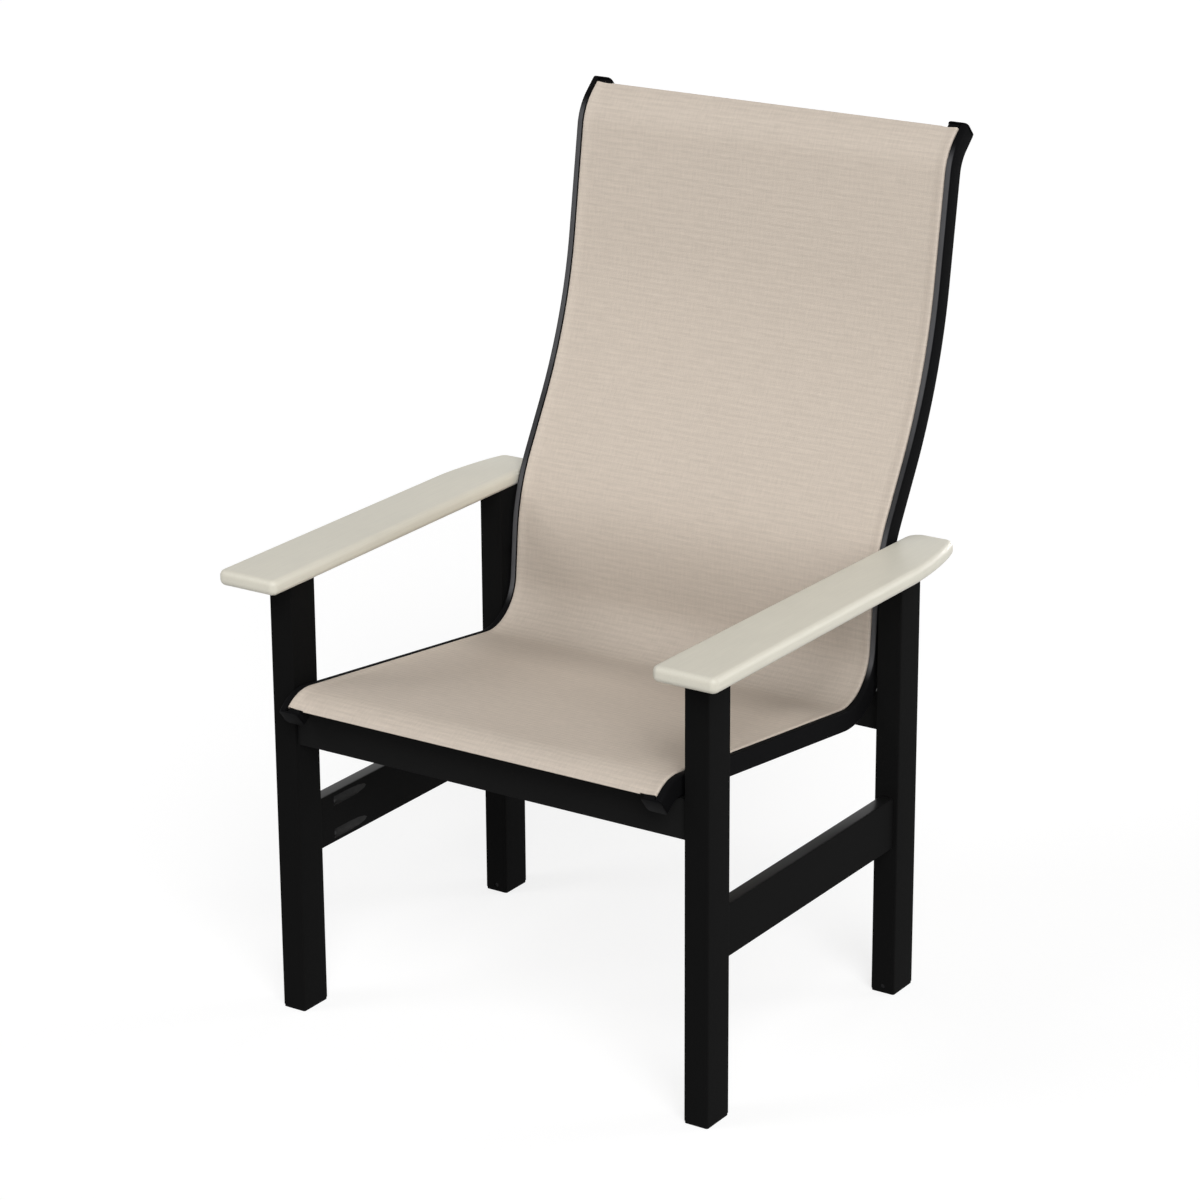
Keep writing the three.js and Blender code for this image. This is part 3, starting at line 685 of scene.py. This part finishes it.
class Pose:
    """A place on the sling's side line, looking along it towards the top."""

    def __init__(self, y, z, heading, run=0):
        self.y = y
        self.z = z
        self.heading = heading
        self.run = run

    def along(self):
        return Vector((0, math.cos(self.heading), math.sin(self.heading)))

    def behind(self):
        """The way out of the back of the sling."""
        return Vector((0, math.sin(self.heading), -math.cos(self.heading)))

    def place(self, x, depth):
        return Vector((x, self.y, self.z)) + self.behind() * depth

    def ahead(self, distance):
        step = self.along() * distance
        return Pose(self.y + step.y, self.z + step.z, self.heading, self.run + distance)

    def centre(self, radius, turn):
        return self.place(0, -math.copysign(radius, turn))

    def turned(self, radius, turn):
        centre = self.centre(radius, turn)
        arm = Matrix.Rotation(turn, 3, "X") @ (self.place(0, 0) - centre)
        return Pose(centre.y + arm.y, centre.z + arm.z, self.heading + turn, self.run + radius * abs(turn))


def sling_start():
    y, z, heading = SLING_START
    return Pose(y, z, math.radians(heading))


def stretch_length(kind, size, turn):
    return size if kind == "straight" else size * math.radians(abs(turn))


SLING_LENGTH = sum(stretch_length(*stretch) for stretch in SLING_STRETCHES)


def arc_steps(radius, turn):
    by_turn = math.ceil(abs(turn) / math.radians(ARC_STEP_TURN))
    by_length = math.ceil(radius * abs(turn) / ARC_STEP)
    return max(2, by_turn, by_length)


def sling_poses():
    """Poses along the whole line, close enough for a smooth cloth."""
    poses = [sling_start()]
    for kind, size, turn in SLING_STRETCHES:
        if kind == "straight":
            steps = max(1, math.ceil(size / STRAIGHT_STEP))
            for _ in range(steps):
                poses.append(poses[-1].ahead(size / steps))
        else:
            steps = arc_steps(size, math.radians(turn))
            for _ in range(steps):
                poses.append(poses[-1].turned(size, math.radians(turn) / steps))
    return poses


def pose_at(run):
    """The pose at a length along the line."""
    at = sling_start()
    if run <= 0:
        return at.ahead(run)
    for kind, size, turn in SLING_STRETCHES:
        length = stretch_length(kind, size, turn)
        left = run - at.run
        if left <= length:
            if kind == "straight":
                return at.ahead(left)
            return at.turned(size, math.copysign(left / size, turn))
        at = at.ahead(size) if kind == "straight" else at.turned(size, math.radians(turn))
    return at.ahead(run - at.run)


# Operators


class CHAIR_OT_sling_rails(bpy.types.Operator):
    """Sweeps each sling rail's grooved section along the side line"""

    bl_idname = "chair.sling_rails"
    bl_label = "Sling rails"

    def section(self):
        """The rail's section as one face, at the front end of the right rail."""
        at = pose_at(-RAIL_FRONT_BARE)
        middle_x = RAIL_OUTER_X - RAIL_WIDTH / 2
        ridge, back = RAIL_FACE - RAIL_RIDGE, RAIL_FACE + RAIL_DEPTH
        centre = at.place(middle_x, (ridge + back) / 2)
        size = (RAIL_WIDTH, back - ridge, 1)
        plane = bpy.ops.mesh.primitive_plane_add
        rail = started(plane, "sling_rail_section_right", centre, size, at.heading - math.pi / 2)
        groove_x = RAIL_OUTER_X - GROOVE_INSET
        bore_top = RAIL_FACE + GROOVE_LIP
        bpy.ops.object.mode_set(mode="EDIT")
        for x in (-GROOVE_ROUND / 2, -GROOVE_MOUTH / 2, GROOVE_MOUTH / 2, GROOVE_ROUND / 2):
            bpy.ops.mesh.select_all(action="SELECT")
            bpy.ops.mesh.bisect(plane_co=(groove_x + x, 0, 0), plane_no=(1, 0, 0))
        for depth in (RAIL_FACE, bore_top, bore_top + GROOVE_ROUND):
            bpy.ops.mesh.select_all(action="SELECT")
            bpy.ops.mesh.bisect(plane_co=at.place(0, depth), plane_no=at.behind())

        def depth_of(point):
            return (point - at.place(0, 0)).dot(at.behind())

        def is_open(face):
            """Whether a cell of the section is groove, or lies beside the ridge."""
            point = middle(face)
            beside, depth = abs(point.x - groove_x), depth_of(point)
            in_mouth = beside < GROOVE_MOUTH / 2 and depth < bore_top
            in_bore = beside < GROOVE_ROUND / 2 and bore_top < depth < bore_top + GROOVE_ROUND
            beside_ridge = point.x < groove_x + GROOVE_MOUTH / 2 and depth < RAIL_FACE
            return in_mouth or in_bore or beside_ridge

        choose(rail, "faces", is_open)
        bpy.ops.mesh.delete(type="FACE")
        bpy.ops.mesh.select_all(action="SELECT")
        bpy.ops.mesh.dissolve_faces()
        bpy.ops.mesh.select_all(action="SELECT")
        bpy.ops.mesh.dissolve_limited(angle_limit=math.radians(1))

        def round_corners(places, offset, segments):
            points = [at.place(x, depth) for x, depth in places]
            choose(rail, "verts", lambda vertex: any((vertex.co - point).length < 0.0002 for point in points))
            bpy.ops.mesh.bevel(affect="VERTICES", offset=offset, segments=segments)

        inner_x = RAIL_OUTER_X - RAIL_WIDTH
        half_mouth, half_bore = GROOVE_MOUTH / 2, GROOVE_ROUND / 2
        bore_depths = (bore_top, bore_top + GROOVE_ROUND)
        bore = [(groove_x + x, depth) for x in (-half_bore, half_bore) for depth in bore_depths]
        mouth = [(groove_x - half_mouth, RAIL_FACE), (groove_x + half_mouth, ridge)]
        round_corners([(RAIL_OUTER_X, ridge)], RAIL_RIDGE_CORNER, 5)
        round_corners([(inner_x, RAIL_FACE), (inner_x, back), (RAIL_OUTER_X, back)], RAIL_BACK_CORNER, 4)
        round_corners(bore, GROOVE_ROUND_CORNER, 4)
        round_corners(mouth, GROOVE_MOUTH_CORNER, 2)
        return rail, at

    def sweep(self, rail, at):
        """Draws the section along the line, straight by straight and arc by arc."""
        bpy.ops.mesh.select_all(action="SELECT")
        stretches = list(SLING_STRETCHES)
        stretches[0] = ("straight", stretches[0][1] + RAIL_FRONT_BARE, 0)
        stretches[-1] = ("straight", stretches[-1][1] + RAIL_TOP_BARE, 0)
        for kind, size, turn in stretches:
            if kind == "straight":
                bpy.ops.mesh.extrude_region_move(TRANSFORM_OT_translate={"value": at.along() * size})
                at = at.ahead(size)
                continue
            angle = math.radians(turn)
            steps, centre = arc_steps(size, angle), at.centre(size, angle)
            bpy.ops.mesh.spin(steps=steps, angle=SPIN_SIGN * angle, center=centre, axis=(1, 0, 0))
            at = at.turned(size, angle)
        mesh = bmesh.from_edit_mesh(rail.data)
        end = [vertex.co for vertex in mesh.verts if vertex.select]
        reached = sum(end, Vector()) / len(end)
        gap = abs((reached - at.place(0, 0)).dot(at.along()))
        if gap > 0.0005:
            raise RuntimeError(f"the sling rail ends {gap} m from its line")
        bpy.ops.object.mode_set(mode="OBJECT")

    def execute(self, context):
        only()
        rail, at = self.section()
        self.sweep(rail, at)
        outward(rail)
        smooth(rail, 40)
        material = coat_finish("rail_powder_coat", context.scene.chair_frame.coat)
        finished(mirrored(rail, "sling_rail_section_left"), material, "sling_rail_left")
        finished(rail, material, "sling_rail_right")
        return {"FINISHED"}


class CHAIR_OT_end_caps(bpy.types.Operator):
    """Makes the moulded caps on the ends of the sling rails"""

    bl_idname = "chair.end_caps"
    bl_label = "End caps"

    def cap(self, name, at):
        width = RAIL_WIDTH + 2 * CAP_LIP_SIDE
        front = RAIL_FACE - CAP_LIP_FRONT
        back = RAIL_FACE + RAIL_DEPTH + CAP_LIP_BACK
        centre = at.ahead(CAP_THICKNESS / 2).place(RAIL_OUTER_X - RAIL_WIDTH / 2, (front + back) / 2)
        size = (width, back - front, CAP_THICKNESS)
        cap = started(bpy.ops.mesh.primitive_cube_add, name, centre, size, at.heading - math.pi / 2)
        bpy.ops.object.mode_set(mode="EDIT")

        def is_corner(edge):
            first, second = edge.verts
            return abs((second.co - first.co).normalized().dot(at.along())) > 0.99

        choose(cap, "edges", is_corner)
        bpy.ops.mesh.bevel(offset=CAP_CORNER, segments=6)
        choose(cap, "faces", lambda face: abs(face.normal.dot(at.along())) > 0.99)
        bpy.ops.mesh.region_to_loop()
        bpy.ops.mesh.bevel(offset=CAP_EDGE, segments=4)
        bpy.ops.object.mode_set(mode="OBJECT")
        outward(cap)
        smooth(cap, 50)
        return cap

    def execute(self, context):
        only()
        material = moulded_finish("cap_moulding", srgb(13, 13, 14))
        front = pose_at(-RAIL_FRONT_BARE - CAP_GAP - CAP_THICKNESS)
        top = pose_at(SLING_LENGTH + RAIL_TOP_BARE + CAP_GAP)
        for end, at in (("front", front), ("top", top)):
            cap = self.cap(f"end_cap_{end}_right", at)
            copy = mirrored(cap, f"end_cap_{end}_left")
            finished(copy, material, f"rail_cap_{end}_left")
            finished(cap, material, f"rail_cap_{end}_right")
        return {"FINISHED"}


class CHAIR_OT_sling(bpy.types.Operator):
    """Lays the woven sling over the line between the rails, with its edges turned down into the grooves"""

    bl_idname = "chair.sling"
    bl_label = "Sling"

    def columns(self, settings):
        """Places across the cloth: x, depth behind the face, and length from the middle along the cloth."""
        half = settings.thickness / 2
        groove_x = RAIL_OUTER_X - GROOVE_INSET
        bend = settings.edge_bend
        points = [(x, half + CLOTH_FLAT_DEPTH) for x in CLOTH_FLAT]
        points += [(x, half + depth) for x, depth in CLOTH_RISE]
        for step in range(7):
            angle = step * math.pi / 12
            depth = half - settings.lift + (bend + settings.lift) * (1 - math.cos(angle))
            points.append((groove_x - bend + bend * math.sin(angle), depth))
        points.append((groove_x, CLOTH_EDGE_DEPTH))
        lengths = [0]
        for before, after in zip(points, points[1:]):
            lengths.append(lengths[-1] + math.dist(before, after))
        right = [(x, depth, length) for (x, depth), length in zip(points, lengths)]
        left = [(-x, depth, -length) for x, depth, length in reversed(right[1:])]
        return left + right

    def fold(self, settings, run, way):
        """The rows of a folded hem, round the cloth's end and under it: pose, depth and length along it."""
        half = settings.thickness / 2
        bend = half + HEM_GAP
        rows = []
        for step in range(1, 7):
            angle = step * math.pi / 6
            at = pose_at(run - way * bend * math.sin(angle))
            rows.append((at, bend * (1 - math.cos(angle)), run - way * bend * angle))
        for step in range(1, 4):
            distance = settings.hem * step / 3
            rows.append((pose_at(run + way * distance), 2 * bend, run - way * (bend * math.pi + distance)))
        return rows

    def execute(self, context):
        only()
        settings = context.scene.chair_sling
        columns = self.columns(settings)
        reach = settings.thickness + HEM_GAP
        inner = [at for at in sling_poses() if reach < at.run < SLING_LENGTH - reach]
        rows = [pose_at(reach), *inner, pose_at(SLING_LENGTH - reach)]
        points, flats, faces = [], [], []

        def add_row(at, lowered, run, across):
            first = len(points)
            for x, depth, length in across:
                points.append(at.place(x, depth + lowered))
                flats.append((length, run))
            return list(range(first, first + len(across)))

        def join(below, above):
            for left in range(len(below) - 1):
                faces.append((below[left], below[left + 1], above[left + 1], above[left]))

        grid = [add_row(at, 0, at.run, columns) for at in rows]
        for below, above in zip(grid, grid[1:]):
            join(below, above)
        folded = [index for index, (x, _, _) in enumerate(columns) if abs(x) < HEM_HALF_WIDTH]
        across = [columns[index] for index in folded]
        for row, run, way in ((grid[0], reach, 1), (grid[-1], SLING_LENGTH - reach, -1)):
            before = [row[index] for index in folded]
            for at, lowered, length in self.fold(settings, run, way):
                after = add_row(at, lowered, length, across)
                join(*((after, before) if way > 0 else (before, after)))
                before = after

        mesh = bpy.data.meshes.new("sling_cloth")
        mesh.from_pydata(points, [], faces)
        cloth = mesh.uv_layers.new(name="cloth")
        for loop in mesh.loops:
            cloth.data[loop.index].uv = flats[loop.vertex_index]
        sling = bpy.data.objects.new("sling_cloth", mesh)
        context.scene.collection.objects.link(sling)
        only(sling)
        area = sum(face.area for face in mesh.polygons)
        bpy.ops.object.modifier_add(type="SOLIDIFY")
        wall = sling.modifiers[-1]
        wall.thickness = settings.thickness
        wall.offset = 0
        wall.use_even_offset = True
        bpy.ops.object.modifier_apply(modifier=wall.name)
        smooth(sling, 40)
        finished(sling, woven_finish("woven_sling", settings), "sling_fabric")
        width = 2 * columns[-1][2]
        length = SLING_LENGTH + 2 * (settings.hem + math.pi * settings.thickness / 2)
        min(area, width * length)
        return {"FINISHED"}


class CHAIR_OT_arms(bpy.types.Operator):
    """Shapes the arm boards with their tapered rear ends and rounded edges"""

    bl_idname = "chair.arms"
    bl_label = "Arms"

    def execute(self, context):
        only()
        bottom, top = (corner.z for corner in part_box("arm_right"))
        outline = [Vector((x, y, 0)) for x, y, _ in ARM_OUTLINE]
        low = Vector((*(min(corner[axis] for corner in outline) for axis in (0, 1)), bottom))
        size = Vector((*(max(corner[axis] for corner in outline) for axis in (0, 1)), top)) - low
        arm = started(bpy.ops.mesh.primitive_cube_add, "arm_board_right", low + size / 2, size)
        bpy.ops.object.mode_set(mode="EDIT")
        for first, second in zip(outline, outline[1:] + outline[:1]):
            side = second - first
            if side.y == 0:
                continue
            away = (side.y, -side.x, 0)
            bpy.ops.mesh.select_all(action="SELECT")
            bpy.ops.mesh.bisect(
                plane_co=first, plane_no=away, use_fill=True, clear_outer=True, threshold=0.000001
            )
        for index, (x, y, reach) in enumerate(ARM_OUTLINE):

            def is_here(edge):
                first, second = edge.verts
                upright = (first.co - second.co).xy.length < 0.00001
                return upright and (middle(edge).xy - Vector((x, y))).length < 0.0005

            choose(arm, "edges", is_here)
            bpy.ops.mesh.bevel(offset=reach, segments=16 if index == ARM_BEND else 8)
        choose(arm, "faces", lambda face: abs(face.normal.z) > 0.99)
        bpy.ops.mesh.region_to_loop()
        bpy.ops.mesh.bevel(offset=context.scene.chair_frame.arm_round, segments=8, clamp_overlap=False)
        bpy.ops.object.mode_set(mode="OBJECT")
        outward(arm)
        smooth(arm, 40)
        colour = context.scene.chair_frame.arm_lumber
        material = lumber_finish("sand_lumber", colour, "Y", gloss=0.4, rough=0.32)
        finished(mirrored(arm, "arm_board_left"), material, "arm_left")
        finished(arm, material, "arm_right")
        return {"FINISHED"}


class CHAIR_OT_frame(bpy.types.Operator):
    """Finishes the legs, stretchers and cross rails"""

    bl_idname = "chair.frame"
    bl_label = "Lumber frame"

    def mill(self, board, milled, edge):
        """Gives the walls of a board's pockets and holes the cutter's finish."""
        board.data.materials.append(milled)
        corners = [vertex.co for vertex in board.data.vertices]
        low = [min(corner[axis] for corner in corners) + edge for axis in range(3)]
        high = [max(corner[axis] for corner in corners) - edge for axis in range(3)]

        def is_inside(face):
            return all(low[axis] < middle(face)[axis] < high[axis] for axis in range(3))

        only(board)
        bpy.ops.object.mode_set(mode="EDIT")
        choose(board, "faces", is_inside)
        board.active_material_index = 1
        bpy.ops.object.material_slot_assign()
        bpy.ops.object.mode_set(mode="OBJECT")

    def execute(self, context):
        settings = context.scene.chair_frame
        milled = milled_finish("milled_lumber", srgb(52, 52, 52))
        boards = {
            "Z": [f"leg_{end}_{side}" for end in ("front", "rear") for side in SIDES],
            "Y": [f"stretcher_{side}" for side in SIDES],
            "X": ["cross_rail_front", "cross_rail_rear"],
        }
        for along, nodes in boards.items():
            # Painted light: the cross rails get a lighter copy of the legs' colour
            colour = tinted(settings.lumber, CROSS_RAIL_PAINTED_LIGHT if along == "X" else 1)
            name = f"black_lumber_{along.lower()}"
            material = lumber_finish(name, colour, along, gloss=0.01, rough=0.5, sky_sheen=True)
            for node in nodes:
                board = softened_copy(node, f"board_{node}", settings.board_edge, segments=3)
                finished(board, material, node)
                if along != "Z":
                    self.mill(board, milled, settings.board_edge)
        return {"FINISHED"}


class CHAIR_OT_spreaders(bpy.types.Operator):
    """Finishes the spreader bars and their end plugs"""

    bl_idname = "chair.spreaders"
    bl_label = "Spreader bars"

    def execute(self, context):
        coat = coat_finish("spreader_powder_coat", context.scene.chair_frame.coat)
        moulding = moulded_finish("plug_moulding", srgb(20, 20, 21))
        for place in ("seat", "lumbar", "top"):
            bar = softened_copy(f"spreader_{place}", f"spreader_bar_{place}", BAR_EDGE)
            finished(bar, coat, f"spreader_{place}")
            for side in SIDES:
                node = f"spreader_plug_{place}_{side}"
                plug = softened_copy(node, f"bar_plug_{place}_{side}", PLUG_EDGE)
                finished(plug, moulding, node)
        return {"FINISHED"}


class CHAIR_OT_fittings(bpy.types.Operator):
    """Finishes the foot glides, spacers, welting rods and fasteners"""

    bl_idname = "chair.fittings"
    bl_label = "Fittings"

    def execute(self, context):
        moulding = moulded_finish("glide_moulding", srgb(22, 22, 22), rough=0.45)
        for end in ("front", "rear"):
            for side in SIDES:
                node = f"foot_{end}_{side}"
                glide = softened_copy(node, f"glide_{end}_{side}", GLIDE_EDGE)
                finished(glide, moulding, node)
        steel = steel_finish("stainless_steel")
        blackened = black_steel_finish("blackened_steel")
        welt = welt_finish("welting_rod")
        finishes = {"bolt": steel, "screw": blackened, "pin": blackened, "welt": welt, "spacer": moulding}
        for name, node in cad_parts.items():
            if node.hide_render:
                continue
            for word, material in finishes.items():
                if word in name:
                    for slot in node.material_slots:
                        slot.material = material
        return {"FINISHED"}


class CHAIR_OT_stage(bpy.types.Operator):
    """Sets the floor, the soft lights and the camera"""

    bl_idname = "chair.stage"
    bl_label = "Stage"

    def floor(self, side):
        """A pale floor that looks even where it is seen, and gives back little light."""
        bpy.ops.mesh.primitive_plane_add(size=side, location=(0, 0, 0))
        floor = named(bpy.context.object, "floor")
        finish = Finish("pale_floor")
        seen = finish.seen()

        def matt(level):
            return finish.add("ShaderNodeBsdfDiffuse", None, {"Color": (level, level, level, 1)}, "BSDF")

        lit, pale = matt(FLOOR_GREY), matt(FLOOR_SEEN_GREY)
        white = {"Color": (1, 1, 1, 1), "Strength": FLOOR_GLOW}
        glow = finish.add("ShaderNodeEmission", None, white, "Emission")
        lifted = finish.add("ShaderNodeAddShader", None, {0: pale, 1: glow})
        shown = finish.add("ShaderNodeMixShader", None, {0: seen, 1: lit, 2: lifted})
        finish.feed(finish.tree.nodes["Material Output"], {"Surface": shown})
        floor.data.materials.append(finish.material)

    def lamp(self, name, level, azimuth, elevation, spread):
        """A broad, distant lamp. Level 1 lights what faces it as its colour is written."""
        turn, lift = math.radians(azimuth), math.radians(elevation)
        way = Vector((math.sin(turn) * math.cos(lift), -math.cos(turn) * math.cos(lift), math.sin(lift)))
        rotation = way.to_track_quat("Z", "Y").to_euler()
        bpy.ops.object.light_add(type="SUN", location=way * LAMP_DISTANCE, rotation=rotation)
        lamp = bpy.context.object
        lamp.name = name
        lamp.data.angle = math.radians(spread)
        lamp.data.energy = level * math.pi

    def sky(self, level):
        """Even light from all round, which is white where it is seen."""
        world = bpy.data.worlds.new("studio")
        bpy.context.scene.world = world
        world.use_nodes = True
        sky = Nodes(world.node_tree)
        seen = sky.seen()
        background = world.node_tree.nodes["Background"]
        sky.feed(background, {"Strength": seen + (1 - seen) * level, "Color": (1, 1, 1, 1)})

    def camera(self):
        bpy.ops.object.camera_add(location=CAMERA_PLACE)
        camera = bpy.context.object
        camera.name = "camera"
        turn = Matrix.Rotation(CAMERA_TURN, 4, "Z") @ Matrix.Rotation(math.pi / 2 - CAMERA_DIP, 4, "X")
        turn = turn @ Matrix.Rotation(CAMERA_ROLL, 4, "Z")
        camera.matrix_world = Matrix.Translation(camera.location) @ turn
        camera.data.sensor_width = CAMERA_SENSOR
        camera.data.lens = CAMERA_LENS
        camera.data.clip_end = CAMERA_REACH
        bpy.context.scene.camera = camera

    def execute(self, context):
        only()
        settings = context.scene.chair_stage
        self.floor(settings.floor)
        for name, angles in LAMPS.items():
            self.lamp(f"{name}_light", getattr(settings, name), *angles)
        self.sky(settings.sky)
        self.camera()
        context.scene.view_settings.view_transform = "Standard"
        return {"FINISHED"}


class CHAIR_PT_chair(bpy.types.Panel):
    """The chair's pieces, one button each"""

    bl_idname = "CHAIR_PT_chair"
    bl_label = "Sling patio armchair"
    bl_space_type = "VIEW_3D"
    bl_region_type = "UI"
    bl_category = "Chair"

    def draw(self, context):
        scene = context.scene
        for settings in (scene.chair_sling, scene.chair_frame, scene.chair_stage):
            column = self.layout.column()
            for name in settings.__annotations__:
                column.prop(settings, name)
        for operator in OPERATORS:
            self.layout.operator(operator.bl_idname)


OPERATORS = (
    CHAIR_OT_sling_rails,
    CHAIR_OT_end_caps,
    CHAIR_OT_sling,
    CHAIR_OT_arms,
    CHAIR_OT_frame,
    CHAIR_OT_spreaders,
    CHAIR_OT_fittings,
    CHAIR_OT_stage,
)
CLASSES = (SlingSettings, FrameSettings, StageSettings, *OPERATORS, CHAIR_PT_chair)


def register():
    for cls in CLASSES:
        bpy.utils.register_class(cls)
    bpy.types.Scene.chair_sling = PointerProperty(type=SlingSettings)
    bpy.types.Scene.chair_frame = PointerProperty(type=FrameSettings)
    bpy.types.Scene.chair_stage = PointerProperty(type=StageSettings)


def unregister():
    del bpy.types.Scene.chair_stage
    del bpy.types.Scene.chair_frame
    del bpy.types.Scene.chair_sling
    for cls in reversed(CLASSES):
        bpy.utils.unregister_class(cls)


def main():
    register()
    bpy.ops.chair.sling_rails()
    bpy.ops.chair.end_caps()
    bpy.ops.chair.sling()
    bpy.ops.chair.arms()
    bpy.ops.chair.frame()
    bpy.ops.chair.spreaders()
    bpy.ops.chair.fittings()
    bpy.ops.chair.stage()


if __name__ == "__main__":
    main()
